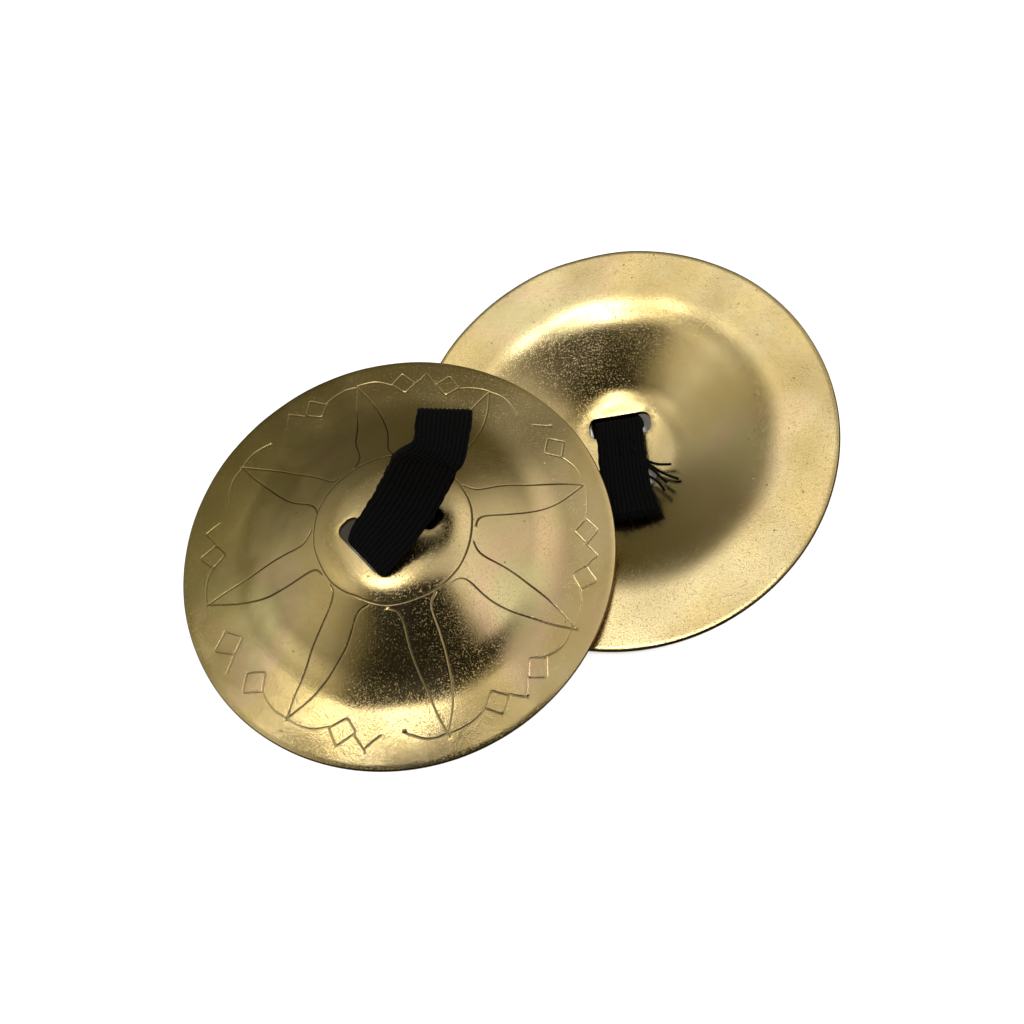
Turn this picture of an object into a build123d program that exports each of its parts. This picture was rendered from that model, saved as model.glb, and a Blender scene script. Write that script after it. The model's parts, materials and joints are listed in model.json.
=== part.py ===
"""A pair of brass finger cymbals, each on its own sewn elastic finger strap.

One cymbal lies bell down and tips onto its rim, with its finger loop folded flat under it.
The other lies bell up on top of it, with its finger loop standing and leaning to one side.
+Z is up, +X runs along the width of the standing loop, and Z = 0 is the table.
"""
from build123d import *
from math import asin, atan2, cos, degrees, hypot, radians, sin
import os

os.makedirs("parts", exist_ok=True)

# Brass disc, the same for both cymbals
rim_diameter = 54.0
crown_height = 6.75          # outside, from the rim plane to the middle of the bell
sheet_thickness = 0.7
crown_radius = 55.0          # gentle dome of the bell's flat top
crown_edge_slope = 6.8       # degrees, where the top turns into the shoulder
shoulder_radius = 9.0
cone_slope = 28.0            # degrees
foot_radius = 12.0           # hollow curve from the cone to the flange
flange_slope = 5.0           # degrees
rim_bulge = 0.2              # how far the rounded rim stands out past the two skins

# Two strap slots, one each side of a brass bridge
bridge_width = 4.6
slot_end_clearance = 1.1     # from the strap's edge to the slot's end
slot_side_clearance = 1.0    # from the strap's face to the slot's side
slot_corner_radius = 1.1

# Elastic strap
strap_width = 6.0
strap_thickness = 0.9
strap_gap = 0.12             # between the strap and the brass
cut_end_overhang = 2.2       # the long tail ends this far past the other slot
strap_bend_radius = 0.75     # on the strap's middle line
loop_length = 15.6           # from the hinge axis to the middle of the loop's fold
loop_spacing = 7.4           # between the two runs of the standing loop
loop_corner_radius = 1.5     # where each run turns into the fold
hinge_height = 1.0           # hinge axis above the bell's outside
root_margin = 1.1            # from the slots' outer sides to where the loop starts
joint_gap = 0.15             # between the fixed strap ends and the loop

# Sewing thread
thread_diameter = 0.4
stitch_length = 1.0
stitch_columns = 3
stitch_rows = 2
stitch_pitch = 1.7
stitch_margin = 0.35         # from the last row of stitches to the short tail's end

# How the pair lies; headings are degrees from +X
centre_spacing = 29.8
pair_heading = 26.6          # from the upper cymbal to the lower one
lower_hinge_rise = 1.854      # hinge axis of the folded loop above the table
lower_heading = 216.0        # the way the lower cymbal's open side faces
lower_slot_heading = 271.0   # from the slot of the long tail to the other slot
upper_heading = 223.0        # the way the upper cymbal's bell leans
upper_slot_heading = 45.0
rest_gap = 0.08              # between the two cymbals where one lies on the other
upper_loop_lean = 34.0       # degrees off the bell's axis, away from the long tail's slot
upper_loop_side_lean = 11.0  # degrees, along the slots
folded_loop_gap = 0.8        # between the two layers of the flat loop

# What follows from those sizes
inner_crown_height = crown_height - sheet_thickness
slot_length = strap_width + 2 * slot_end_clearance
slot_width = strap_thickness + 2 * slot_side_clearance
slot_spacing = bridge_width + slot_width
slot_place = slot_spacing / 2
slots_reach = slot_place + slot_width / 2
cut_end_reach = slots_reach + cut_end_overhang
short_end_reach = (stitch_rows - 1) / 2 * stitch_pitch + stitch_length / 2 + stitch_margin
root_radius = slots_reach + root_margin    # the strap ends and the loop meet on this cylinder
hinge_reach = hypot(rim_diameter / 2, crown_height + hinge_height)
lower_lean = degrees(asin(lower_hinge_rise / hinge_reach)
                     + atan2(crown_height + hinge_height, rim_diameter / 2))


def polar(centre, radius, slope):
    """Point of a circle in the profile plane where the surface has this slope."""
    return centre[0] + radius * sin(radians(slope)), centre[1] + radius * cos(radians(slope))


def shell_points(inset):
    """Ends and middles of the profile's arcs and lines, moved inwards by inset."""
    crown_centre = (0.0, crown_height - crown_radius)
    shoulder_centre = polar(crown_centre, crown_radius - shoulder_radius, crown_edge_slope)
    cone_top = polar(shoulder_centre, shoulder_radius, cone_slope)
    foot_run = foot_radius * (sin(radians(cone_slope)) - sin(radians(flange_slope)))
    foot_drop = foot_radius * (cos(radians(flange_slope)) - cos(radians(cone_slope)))
    skin_radius = rim_diameter / 2 - rim_bulge
    run = skin_radius - cone_top[0] - foot_run
    drop = cone_top[1] - foot_drop
    slope_sine = sin(radians(cone_slope - flange_slope))
    cone_length = (drop * cos(radians(flange_slope)) - run * sin(radians(flange_slope))) / slope_sine
    cone_foot = (cone_top[0] + cone_length * cos(radians(cone_slope)),
                 cone_top[1] - cone_length * sin(radians(cone_slope)))
    foot_centre = polar(cone_foot, foot_radius, cone_slope)
    middle_crown = crown_edge_slope / 2
    middle_shoulder = (crown_edge_slope + cone_slope) / 2
    middle_foot = (cone_slope + flange_slope) / 2
    return {
        "top": polar(crown_centre, crown_radius - inset, 0.0),
        "crown_middle": polar(crown_centre, crown_radius - inset, middle_crown),
        "crown_end": polar(crown_centre, crown_radius - inset, crown_edge_slope),
        "shoulder_middle": polar(shoulder_centre, shoulder_radius - inset, middle_shoulder),
        "cone_top": polar(shoulder_centre, shoulder_radius - inset, cone_slope),
        "cone_foot": polar(foot_centre, -foot_radius - inset, cone_slope),
        "foot_middle": polar(foot_centre, -foot_radius - inset, middle_foot),
        "foot_end": polar(foot_centre, -foot_radius - inset, flange_slope),
        "rim": polar((skin_radius, 0.0), -inset, flange_slope),
        "rim_nose": (rim_diameter / 2, -sheet_thickness / 2),
    }


def crown_sag(radius):
    """How far the bell's top has dropped at a distance from its middle."""
    return crown_radius * (1 - cos(asin(radius / crown_radius)))


def skin(points):
    """The five tangent curves of one face of the sheet, from the bell's axis to the rim."""
    ThreePointArc(points["top"], points["crown_middle"], points["crown_end"])
    ThreePointArc(points["crown_end"], points["shoulder_middle"], points["cone_top"])
    Line(points["cone_top"], points["cone_foot"])
    ThreePointArc(points["cone_foot"], points["foot_middle"], points["foot_end"])
    Line(points["foot_end"], points["rim"])


def upright(base):
    """Plane that holds the axis of a cymbal's plane, with its x across the slots."""
    return Plane(origin=base.origin, x_dir=base.x_dir, z_dir=-base.y_dir)


def make_disc(base):
    """Brass disc with its rim in the plane and its bell towards the plane's +z."""
    outside = shell_points(0.0)
    inside = shell_points(sheet_thickness)
    with BuildPart() as disc:
        with BuildSketch(upright(base)):
            with BuildLine():
                skin(outside)
                skin(inside)
                Line(outside["top"], inside["top"])
                ThreePointArc(outside["rim"], outside["rim_nose"], inside["rim"])
            make_face()
        revolve(axis=Axis(base.origin, base.z_dir))
        with BuildSketch(base.offset(crown_height + 1)):
            with GridLocations(slot_spacing, 0, 2, 1):
                RectangleRounded(slot_width, slot_length, slot_corner_radius)
        extrude(amount=-(crown_height + 2), mode=Mode.SUBTRACT)
    return disc


def cymbal_plane(centre, lean, heading, slot_heading, bell_up):
    """Rim plane of a tipped cymbal: z towards the bell, x from the long tail's slot."""
    tilt, turn, slot_turn = radians(lean), radians(heading), radians(slot_heading)
    face = Vector(sin(tilt) * cos(turn), sin(tilt) * sin(turn), cos(tilt))
    across = Vector(cos(slot_turn), sin(slot_turn), 0)
    across = (across - face * across.dot(face)).normalized()
    return Plane(origin=centre, x_dir=across, z_dir=face if bell_up else -face)


def settled(side, lean, heading, slot_heading, bell_up):
    """Rim plane of a tipped cymbal whose lowest point touches the table."""
    turn = radians(pair_heading)
    centre = Vector(cos(turn), sin(turn), 0) * (side * centre_spacing / 2)
    trial = cymbal_plane(centre, lean, heading, slot_heading, bell_up)
    lowest = disc_form.moved(trial.location).bounding_box().min.Z
    return cymbal_plane(centre - Vector(0, 0, lowest), lean, heading, slot_heading, bell_up)


def upper_plane_at(lean):
    """Rim plane of the upper cymbal at a lean, with its low rim on the table."""
    return settled(-1, lean, upper_heading, upper_slot_heading, True)


def resting_lean(lower, least, most, steps=10):
    """Smallest lean at which the upper rim clears the lower disc by the resting gap."""
    rim = Edge.make_circle(rim_diameter / 2 - rim_bulge, Plane.XY.offset(-sheet_thickness))
    lower_form = disc_form.moved(lower.location)
    for _ in range(steps):
        middle = (least + most) / 2
        if rim.moved(upper_plane_at(middle).location).distance_to(lower_form) < rest_gap:
            least = middle
        else:
            most = middle
    return most


def shifted(plane, move):
    """The same plane with its origin moved."""
    return Plane(origin=plane.origin + move, x_dir=plane.x_dir, z_dir=plane.z_dir)


def lap_height(layer):
    """Middle of a strap layer under the bridge, counted from the brass."""
    bridge_sag = crown_sag(hypot(bridge_width, strap_width) / 2)
    return inner_crown_height - bridge_sag - strap_gap - (layer + 0.5) * strap_thickness


def make_strap_ends(base, long_run, short_run):
    """The two sewn tails of the strap, up to where the finger loop starts.

    Each run is the way from its slot to the loop, as points of the plane across the slots.
    The long tail leaves its slot, crosses the bridge under the short one and passes the
    other slot. Outside the bell, both end on the cylinder about the hinge axis.
    """
    long_tail = [(cut_end_reach, lap_height(1)), (-slot_place, lap_height(1)), *long_run]
    short_tail = [(-short_end_reach, lap_height(0)), (slot_place, lap_height(0)), *short_run]
    hinge = Pos(0, crown_height + hinge_height)
    inside_bell = Pos(0, -rim_diameter / 2 + crown_height) * Rectangle(rim_diameter, rim_diameter)
    kept = hinge * Circle(root_radius - joint_gap / 2) + inside_bell
    with BuildPart() as ends:
        with BuildSketch(upright(base)):
            for tail in (long_tail, short_tail):
                with BuildLine():
                    FilletPolyline(*tail, radius=strap_bend_radius)
                trace(line_width=strap_thickness)
            add(kept, mode=Mode.INTERSECT)
        extrude(amount=strap_width / 2, both=True)
    return ends


def hinge_plane(base):
    """Plane through the hinge axis, with its z along that axis."""
    across = base.offset(crown_height + hinge_height)
    return Plane(origin=across.origin, x_dir=base.x_dir, z_dir=base.y_dir)


def make_loop(base, loop_plane, route, bend_radius):
    """Finger loop beyond the cylinder about the hinge axis, flat across its width."""
    with BuildPart() as loop:
        with BuildSketch(loop_plane):
            with BuildLine():
                FilletPolyline(*route, radius=bend_radius)
            trace(line_width=strap_thickness)
        extrude(amount=strap_width / 2, both=True)
        with BuildSketch(hinge_plane(base)):
            Circle(root_radius + joint_gap / 2)
        extrude(amount=strap_width, both=True, mode=Mode.SUBTRACT)
    return loop


def make_stitching(base):
    """Stitches through both tails, each a short bar on the long tail with two legs."""
    face = lap_height(1) - strap_thickness / 2
    depth = face + 1.6 * strap_thickness
    reach = stitch_length / 2
    with BuildPart() as stitching:
        for row in range(stitch_rows):
            along = (row - (stitch_rows - 1) / 2) * stitch_pitch
            for column in range(stitch_columns):
                aside = (column - (stitch_columns - 1) / 2) * stitch_pitch
                layer = upright(base).offset(aside)
                with BuildSketch(layer):
                    with BuildLine():
                        FilletPolyline((along - reach, depth), (along - reach, face),
                                       (along + reach, face), (along + reach, depth),
                                       radius=thread_diameter * 0.6)
                    trace(line_width=thread_diameter)
                extrude(amount=thread_diameter / 2, both=True)
    return stitching


def leaning_point(across, along):
    """Point of the standing loop, across and along it, in the plane across the slots."""
    lean = radians(upper_loop_lean)
    return (across * cos(lean) + along * sin(lean),
            crown_height + hinge_height - across * sin(lean) + along * cos(lean))


def folded_point(across, height):
    """Point of the lower cymbal's plane across its slots, for a strap that slopes sideways.

    The strap's low edge, not its middle, is what comes to this height above the table.
    """
    edge_drop = strap_width / 2 * abs(lower_plane.y_dir.Z)
    climb = height + edge_drop - lower_plane.origin.Z - across * lower_plane.x_dir.Z
    return across, climb / lower_plane.z_dir.Z


# Where the discs lie: the pair is centred on the origin
disc_form = make_disc(Plane.XY).part
lower_plane = settled(1, lower_lean, lower_heading, lower_slot_heading, False)
upper_plane = upper_plane_at(resting_lean(lower_plane, 3.0, 15.0))
lower_box, upper_box = (disc_form.moved(plane.location).bounding_box()
                        for plane in (lower_plane, upper_plane))
centring = Vector(-(lower_box.max.X + upper_box.min.X) / 2,
                  -(lower_box.max.Y + upper_box.min.Y) / 2, 0)
lower_plane = shifted(lower_plane, centring)
upper_plane = shifted(upper_plane, centring)
lower_disc = make_disc(lower_plane)
upper_disc = make_disc(upper_plane)

# Upper strap: both runs lean the same way and carry straight on into the standing loop,
# which is twisted until its width lies along X as seen from above
outside_slot = crown_height + strap_gap
loop_start = root_radius + strap_thickness
upper_strap_ends = make_strap_ends(
    upper_plane,
    long_run=[(-slot_place, outside_slot), leaning_point(-loop_spacing / 2, loop_start)],
    short_run=[(slot_place, outside_slot), leaning_point(loop_spacing / 2, loop_start)],
)
loop_forward = (upper_plane.z_dir * cos(radians(upper_loop_lean))
                + upper_plane.x_dir * sin(radians(upper_loop_lean)))
loop_up = (loop_forward * cos(radians(upper_loop_side_lean))
           - upper_plane.y_dir * sin(radians(upper_loop_side_lean)))
loop_across = loop_up.cross(Vector(1, 0, 0)).normalized()
standing_plane = Plane(origin=hinge_plane(upper_plane).origin, x_dir=loop_across,
                       z_dir=loop_across.cross(loop_up))
upper_finger_loop = make_loop(
    upper_plane, standing_plane,
    route=[(-loop_spacing / 2, 0), (-loop_spacing / 2, loop_length),
           (loop_spacing / 2, loop_length), (loop_spacing / 2, 0)],
    bend_radius=loop_corner_radius,
)

# Lower strap: both runs bend back under the bell and lie flat on the table
bottom_layer = strap_thickness / 2
top_layer = bottom_layer + strap_thickness + folded_loop_gap
under_bell = crown_height + strap_gap + strap_thickness / 2
lower_strap_ends = make_strap_ends(
    lower_plane,
    long_run=[(-slot_place, under_bell), folded_point(-root_radius, top_layer)],
    short_run=[(slot_place, under_bell), (0, under_bell),
               folded_point(-root_radius, bottom_layer)],
)
fold_way = -Vector(lower_plane.x_dir.X, lower_plane.x_dir.Y, 0).normalized()
lower_hinge = hinge_plane(lower_plane).origin
table_plane = Plane(origin=(lower_hinge.X, lower_hinge.Y, 0), x_dir=fold_way,
                    z_dir=fold_way.cross(Vector(0, 0, 1)))
lower_finger_loop = make_loop(
    lower_plane, table_plane,
    route=[(0, bottom_layer), (loop_length, bottom_layer), (loop_length, top_layer),
           (0, top_layer)],
    bend_radius=(top_layer - bottom_layer) * 0.45,
)

upper_stitching = make_stitching(upper_plane)
lower_stitching = make_stitching(lower_plane)

pieces = {
    "lower_disc": lower_disc, "lower_strap_ends": lower_strap_ends,
    "lower_stitching": lower_stitching, "lower_finger_loop": lower_finger_loop,
    "upper_disc": upper_disc, "upper_strap_ends": upper_strap_ends,
    "upper_stitching": upper_stitching, "upper_finger_loop": upper_finger_loop,
}
for name, piece in pieces.items():
    piece.part.label = name
    export_step(piece.part, f"parts/{name}.step")
    box = piece.part.bounding_box()
    print(name, round(piece.part.volume, 2), box)
for name, plane in (("upper", upper_plane), ("lower", lower_plane)):
    print(name, "centre", plane.origin, "x", plane.x_dir, "z", plane.z_dir,
          "hinge", hinge_plane(plane).origin, "axis", plane.y_dir)
print("standing loop", loop_across, loop_up)
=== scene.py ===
"""A pair of engraved brass finger cymbals on sewn elastic finger straps.

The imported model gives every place: each cymbal's plane is read from its disc and from the
hinge of its finger loop. The object's sizes are in millimetres, in the cymbal's own
directions: u across the two slots, v along them and h towards the bell. The relief of the
finishes and the studio are in metres, but for the camera's place.
"""

import json
import logging
import math
from dataclasses import dataclass
from enum import Enum

import bpy
import numpy as np
from mathutils import Matrix, Vector
from mathutils.geometry import delaunay_2d_cdt


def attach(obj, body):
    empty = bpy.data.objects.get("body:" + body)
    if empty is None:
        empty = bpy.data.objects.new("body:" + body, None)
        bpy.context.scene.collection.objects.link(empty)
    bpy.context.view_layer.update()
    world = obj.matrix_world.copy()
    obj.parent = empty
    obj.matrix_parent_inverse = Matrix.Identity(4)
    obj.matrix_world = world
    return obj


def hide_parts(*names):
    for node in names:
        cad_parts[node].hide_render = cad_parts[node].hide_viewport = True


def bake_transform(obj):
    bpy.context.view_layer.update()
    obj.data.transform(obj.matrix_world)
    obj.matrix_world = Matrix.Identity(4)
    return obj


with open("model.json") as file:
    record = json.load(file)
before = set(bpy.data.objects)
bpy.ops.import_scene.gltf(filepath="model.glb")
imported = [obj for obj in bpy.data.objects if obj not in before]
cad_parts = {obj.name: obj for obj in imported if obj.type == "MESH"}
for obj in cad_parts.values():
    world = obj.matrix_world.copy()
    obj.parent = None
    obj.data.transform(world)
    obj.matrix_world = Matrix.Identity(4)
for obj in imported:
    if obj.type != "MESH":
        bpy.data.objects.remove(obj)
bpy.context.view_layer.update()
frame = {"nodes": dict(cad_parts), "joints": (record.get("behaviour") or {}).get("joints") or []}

MM = 0.001
LOG = logging.getLogger("finger_cymbals")


PIVOT_RISE = 1.0  # the loops' hinge axis above the top of the bell


class Facing(Enum):
    """Which skin of the sheet a set of triangles belongs to."""

    OUTSIDE = 1
    INSIDE = -1


# ---------------------------------------------------------------------------- meshes


def unit(vectors: np.ndarray) -> np.ndarray:
    """Each row divided by its length."""
    return vectors / np.maximum(np.linalg.norm(vectors, axis=-1, keepdims=True), 1e-12)


def polar(radius: np.ndarray, angle: np.ndarray) -> np.ndarray:
    """Plan points at these radii and angles, one row each."""
    return np.stack([radius * np.cos(angle), radius * np.sin(angle)], 1)


def run_length(line: np.ndarray) -> np.ndarray:
    """Distance from a line's start to each of its points."""
    steps = np.linalg.norm(np.diff(line, axis=0), axis=1)
    return np.concatenate([[0], np.cumsum(steps)])


def resampled(line: np.ndarray, run: np.ndarray, step: float, fewest: int) -> tuple:
    """Values of a line at evenly spaced places.

    Args:
        line: (points, any) values.
        run: distance along the line to each row.
        step: wanted distance between the new rows.
        fewest: least number of new rows.

    Returns:
        The places along the line and the (many, any) values there.
    """
    places = np.linspace(0, run[-1], max(fewest, round(run[-1] / step) + 1))
    return places, np.stack([np.interp(places, run, column) for column in line.T], 1)


def joined(parts: list) -> tuple[np.ndarray, list]:
    """Several sets of vertices and faces as one set."""
    points, faces, total = [np.zeros((0, 3))], [], 0
    for some, their in parts:
        points.append(some)
        faces += [[corner + total for corner in face] for face in their]
        total += len(some)
    return np.concatenate(points), faces


def add_object(name: str, data: bpy.types.ID) -> bpy.types.Object:
    """Makes an object of its data and links it to the scene."""
    made = bpy.data.objects.new(name, data)
    bpy.context.scene.collection.objects.link(made)
    return made


def ring_quads(rows: int, columns: int, start: int = 0) -> np.ndarray:
    """Quads of a closed grid of vertices stored row by row.

    Args:
        rows: number of rows of vertices.
        columns: number of vertices in a row, the last beside the first.
        start: index of the first vertex.

    Returns:
        One row of four vertex indices for each quad.
    """
    row, column = np.meshgrid(np.arange(rows - 1), np.arange(columns), indexing="ij")
    beside = (column + 1) % columns
    corners = (row * columns + column, row * columns + beside,
               (row + 1) * columns + beside, (row + 1) * columns + column)
    return np.stack(corners, axis=-1).reshape(-1, 4) + start


def make_piece(name: str, points: np.ndarray, faces: list, normals: np.ndarray | None = None,
               marks: dict[str, np.ndarray] | None = None) -> bpy.types.Object:
    """Puts worked-out points into a smooth mesh object at the origin.

    Args:
        name: the piece's name.
        points: vertices in millimetres, in the row frame.
        faces: vertex indices of each face.
        normals: one direction for each vertex; a zero row leaves the mesh's own.
        marks: numbers or vectors for each vertex, which the finishes read by name.

    Returns:
        The new object, linked to the scene.
    """
    mesh = bpy.data.meshes.new(name)
    mesh.from_pydata(points * MM, [], faces)
    mesh.polygons.foreach_set("use_smooth", np.ones(len(mesh.polygons), dtype=bool))
    for mark, values in (marks or {}).items():
        kind, field = ("FLOAT", "value") if values.ndim == 1 else ("FLOAT_VECTOR", "vector")
        layer = mesh.attributes.new(mark, kind, "POINT")
        layer.data.foreach_set(field, values.astype(np.float32).ravel())
    mesh.validate()
    mesh.update()
    if normals is not None:
        mesh.normals_split_custom_set_from_vertices(normals.tolist())
    return add_object(name, mesh)


def tubes(paths: np.ndarray, radii: np.ndarray, sides: int) -> tuple[np.ndarray, list]:
    """Round tubes carried along many paths at once, closed at both ends.

    A ring of points is set round each path point, in the plane across the path.

    Args:
        paths: (tubes, points, 3) middle lines.
        radii: (tubes, points) radius at each point.
        sides: points in a ring.

    Returns:
        The vertices and the faces.
    """
    count, length, _ = paths.shape
    along = unit(np.gradient(paths, axis=1))
    steep = 0.8
    aid = np.where(np.abs(along[..., 2:3]) < steep, np.array([0.0, 0, 1]),
                   np.array([1.0, 0, 0]))
    first = unit(np.cross(along, aid))
    second = np.cross(along, first)
    turn = np.arange(sides) * 2 * np.pi / sides
    ring = (np.cos(turn)[:, None] * first[:, :, None] + np.sin(turn)[:, None] * second[:, :, None])
    points = paths[:, :, None] + ring * radii[:, :, None, None]
    faces = []
    for tube in range(count):
        start = tube * length * sides
        faces += ring_quads(length, sides, start).tolist()
        faces.append(list(range(start + sides - 1, start - 1, -1)))
        faces.append(list(range(start + (length - 1) * sides, start + length * sides)))
    return points.reshape(-1, 3), faces


def smooth_line(controls: np.ndarray, step: float) -> np.ndarray:
    """Uniform cubic B-spline through a control polygon's shape, evenly spaced.

    Each point of the line is the weighted mean of four neighbouring controls, with the
    cubic B-spline weights. The end controls count three times, so the line reaches them.

    Args:
        controls: (points, any) control values; the first three are the place.
        step: distance between the line's points.

    Returns:
        (many, any) values along the line.
    """
    points_per_span = 24
    held = np.concatenate([controls[:1]] * 2 + [controls] + [controls[-1:]] * 2)
    t = np.linspace(0, 1, points_per_span, endpoint=False)[:, None]
    weights = ((1 - t) ** 3, 3 * t ** 3 - 6 * t ** 2 + 4, -3 * t ** 3 + 3 * t ** 2 + 3 * t + 1,
               t ** 3)
    spans = len(held) - 3
    dense = sum(w[None] * held[k:k + spans, None] for k, w in enumerate(weights)) / 6
    dense = np.concatenate([dense.reshape(-1, held.shape[1]), held[-1:]])
    return resampled(dense, run_length(dense[:, :3]), step, 3)[1]


# ----------------------------------------------------------------------------- brass


@dataclass(frozen=True)
class Placement:
    """Where a cymbal lies: the middle of its rim plane and its three directions."""

    middle: np.ndarray
    across: np.ndarray
    along: np.ndarray
    out: np.ndarray

    @classmethod
    def of_cymbal(cls, disc: str, hinge: str, hinge_level: float) -> "Placement":
        """Reads the cymbal's plane from its disc node and its loop's hinge.

        The bell's direction is the one in which the disc's area spreads least, and the
        slots' direction is the hinge axis.

        Args:
            disc: name of the disc node.
            hinge: name of the loop's joint.
            hinge_level: the hinge axis above the rim plane.

        Returns:
            The placement.
        """
        joint = next(j for j in frame["joints"] if j["name"] == hinge)
        pivot = np.array(joint["pos_m"]) / MM
        mesh = frame["nodes"][disc].data
        mesh.calc_loop_triangles()

        def read(items: bpy.types.bpy_prop_collection, key: str, size: int,
                 kind: type = float) -> np.ndarray:
            """Reads one property of all the mesh's items."""
            values = np.empty(len(items) * size, dtype=kind)
            items.foreach_get(key, values)
            return values

        points = read(mesh.vertices, "co", 3)
        corners = read(mesh.loop_triangles, "vertices", 3, int)
        areas = read(mesh.loop_triangles, "area", 1)
        centres = points.reshape(-1, 3)[corners].reshape(-1, 3, 3).mean(axis=1) / MM
        centre = np.average(centres, axis=0, weights=areas)
        spread = np.cov((centres - centre).T, aweights=areas)
        out = np.linalg.eigh(spread)[1][:, 0]
        out *= np.sign(out @ (pivot - centre))
        along = np.array(joint["axis"])
        along = unit(along - out * (along @ out))
        return cls(pivot - out * hinge_level, np.cross(along, out), along, out)

    def to_row(self, local: np.ndarray) -> np.ndarray:
        """Places (u, v, h) rows in the row frame, still in millimetres."""
        return self.middle + local @ np.stack([self.across, self.along, self.out])

    def turn(self, local: np.ndarray) -> np.ndarray:
        """Turns (u, v, h) directions into the row frame."""
        return local @ np.stack([self.across, self.along, self.out])

    def over_bell(self, height: float) -> np.ndarray:
        """The point on the bell's axis at this height above the rim plane."""
        return self.to_row(np.array([[0, 0, height]]))[0]


@dataclass(frozen=True)
class SheetProfile:
    """Meridian of the pressed sheet: bell top, shoulder, cone, hollow foot and flange."""

    rim_radius: float = 27.0
    rim_bulge: float = 0.2
    thickness: float = 0.7
    crown_height: float = 6.75
    crown_radius: float = 55.0
    crown_edge_slope: float = math.radians(6.8)
    shoulder_radius: float = 9.0
    cone_slope: float = math.radians(28)
    foot_radius: float = 12.0
    flange_slope: float = math.radians(5)

    @property
    def skin_radius(self) -> float:
        """Where the outer skin ends and the rounded rim starts."""
        return self.rim_radius - self.rim_bulge

    def height(self, radius: np.ndarray, inset: float) -> np.ndarray:
        """Height of a skin above the rim plane.

        The meridian is an arc, a tighter arc, a line, a hollow arc and a line, each
        tangent to the next; the inner skin has the same centres and radii changed by the
        inset.

        Args:
            radius: distances from the bell's axis.
            inset: 0 for the outside, the sheet's thickness for the inside.

        Returns:
            Heights, the same shape as radius.
        """
        def at(centre: tuple, length: float, slope: float) -> tuple:
            """Point of a circle where the surface has this slope."""
            return centre[0] + length * math.sin(slope), centre[1] + length * math.cos(slope)

        crown = (0.0, self.crown_height - self.crown_radius)
        shoulder = at(crown, self.crown_radius - self.shoulder_radius, self.crown_edge_slope)
        cone_top = at(shoulder, self.shoulder_radius, self.cone_slope)
        foot_run = self.foot_radius * (math.sin(self.cone_slope) - math.sin(self.flange_slope))
        foot_drop = self.foot_radius * (math.cos(self.flange_slope) - math.cos(self.cone_slope))
        run = self.skin_radius - cone_top[0] - foot_run
        drop = cone_top[1] - foot_drop
        length = ((drop * math.cos(self.flange_slope) - run * math.sin(self.flange_slope))
                  / math.sin(self.cone_slope - self.flange_slope))
        cone_foot = (cone_top[0] + length * math.cos(self.cone_slope),
                     cone_top[1] - length * math.sin(self.cone_slope))
        foot = at(cone_foot, self.foot_radius, self.cone_slope)
        crown_r, shoulder_r = self.crown_radius - inset, self.shoulder_radius - inset
        foot_r = self.foot_radius + inset
        crown_end = at(crown, crown_r, self.crown_edge_slope)
        cone_start = at(shoulder, shoulder_r, self.cone_slope)
        cone_end = at(foot, -foot_r, self.cone_slope)
        foot_end = at(foot, -foot_r, self.flange_slope)
        r = np.asarray(radius, dtype=float)

        def arc(centre: tuple, length: float, side: int) -> np.ndarray:
            """Heights on the top (side 1) or the bottom (side -1) of a circle."""
            return centre[1] + side * np.sqrt(np.maximum(length ** 2 - (r - centre[0]) ** 2, 0))

        return np.select(
            [r < crown_end[0], r < cone_start[0], r < cone_end[0], r < foot_end[0]],
            [arc(crown, crown_r, 1), arc(shoulder, shoulder_r, 1),
             cone_start[1] - (r - cone_start[0]) * math.tan(self.cone_slope),
             arc(foot, foot_r, -1)],
            foot_end[1] - (r - foot_end[0]) * math.tan(self.flange_slope))


@dataclass(frozen=True)
class Slots:
    """The two strap slots, one each side of the bridge."""

    spacing: float = 7.5
    width: float = 2.9
    length: float = 8.2
    corner: float = 1.1
    edge_round: float = 0.09
    corner_points: int = 7
    side_points: int = 16
    end_points: int = 6

    def outline(self, side: int, offset: float) -> np.ndarray:
        """Rounded rectangle round one slot.

        Args:
            side: -1 or 1, the slot's side of the bridge.
            offset: how far the outline stands out from the slot.

        Returns:
            (points, 2) plan points, anticlockwise, the same count for every offset.
        """
        half = np.array([self.width, self.length]) / 2 - self.corner
        radius = self.corner + offset
        turns = np.linspace(0, np.pi / 2, self.corner_points)
        parts = []
        for quarter, (x, y) in enumerate(((1, 1), (-1, 1), (-1, -1), (1, -1))):
            angle = turns + quarter * np.pi / 2
            corner = polar(np.ones(len(angle)), angle) * radius + half * (x, y)
            onward = ((-1, 1), (-1, -1), (1, -1), (1, 1))[quarter]
            end = half * onward + radius * np.array(((0, 1), (-1, 0), (0, -1), (1, 0))[quarter])
            count = self.side_points if quarter % 2 else self.end_points
            between = np.linspace(corner[-1], end, count + 1)[1:-1]
            parts += [corner, between]
        return np.concatenate(parts) + (side * self.spacing / 2, 0)


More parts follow.
